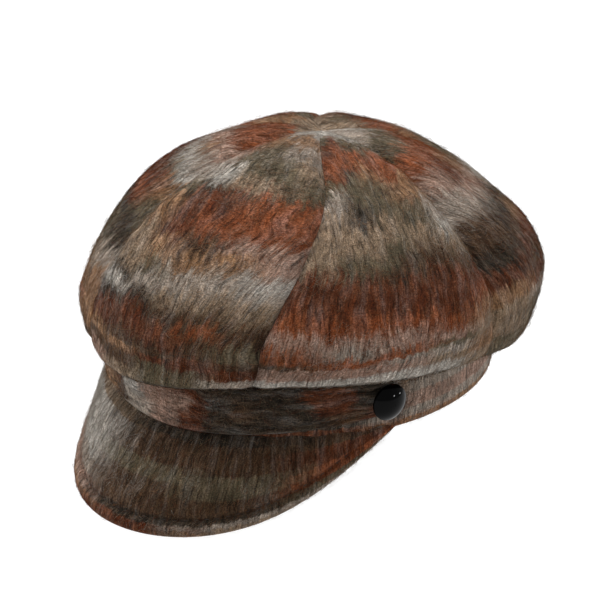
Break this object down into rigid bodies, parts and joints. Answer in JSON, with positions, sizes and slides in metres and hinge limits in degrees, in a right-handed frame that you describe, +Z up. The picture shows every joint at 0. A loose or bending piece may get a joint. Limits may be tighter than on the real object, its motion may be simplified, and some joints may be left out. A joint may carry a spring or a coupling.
{
  "type": "newsboy cap",
  "caption": "Soft newsboy cap in brushed plaid wool with a puffed panelled crown, headband, front strap with domed side buttons, and a sloping stiffened visor.",
  "frame": {"origin": "middle of the head opening, in the plane of the headband's lower edge", "axes": "+Z up through the crown, -Y towards the visor (the front), +X to the wearer's left"},
  "size_m": [0.206, 0.254, 0.1476],
  "materials": {
    "brushed_plaid_wool": "brushed mohair and wool plaid: olive grey, rust, pale blue grey, taupe and dark brown, long nap",
    "lining_satin": "dark brown satin",
    "sweatband_ribbon": "ribbed dark ribbon",
    "band_stiffener": "stiff woven band",
    "visor_board": "matte moulded sheet",
    "button_plastic": "polished black",
    "sewing_thread": "matte sewing thread",
    "label_tape": "blank woven tape"
  },
  "bodies": {
    "cap": {"headband_cloth": "brushed_plaid_wool", "headband_stiffener": "band_stiffener", "sweatband": "sweatband_ribbon", "sweatband_stitching": "sewing_thread", "inner_label": "label_tape", "visor_upper_cloth": "brushed_plaid_wool", "visor_board": "visor_board", "visor_lower_cloth": "brushed_plaid_wool", "visor_stitching": "sewing_thread", "front_strap": "brushed_plaid_wool", "strap_backing": "brushed_plaid_wool", "strap_stitching": "sewing_thread", "crown_panel_front": "brushed_plaid_wool", "lining_panel_front": "lining_satin", "crown_panel_front_left": "brushed_plaid_wool", "lining_panel_front_left": "lining_satin", "crown_panel_back_left": "brushed_plaid_wool", "lining_panel_back_left": "lining_satin", "crown_panel_back": "brushed_plaid_wool", "lining_panel_back": "lining_satin", "crown_panel_back_right": "brushed_plaid_wool", "lining_panel_back_right": "lining_satin", "crown_panel_front_right": "brushed_plaid_wool", "lining_panel_front_right": "lining_satin"},
    "left_button": {"left_button": "button_plastic", "left_button_thread": "sewing_thread"},
    "right_button": {"right_button": "button_plastic", "right_button_thread": "sewing_thread"}
  },
  "joints": [
    {"name": "left_button_turn", "type": "hinge", "parent": "cap", "child": "left_button", "pos_m": [0.07417, -0.05047, 0.0175], "axis": [0.9235, -0.3837, 0], "range_deg": [-30, 30], "stiffness_Nm_per_rad": 0.00005},
    {"name": "right_button_turn", "type": "hinge", "parent": "cap", "child": "right_button", "pos_m": [-0.07417, -0.05047, 0.0175], "axis": [-0.9235, -0.3837, 0], "range_deg": [-30, 30], "stiffness_Nm_per_rad": 0.00005}
  ]
}
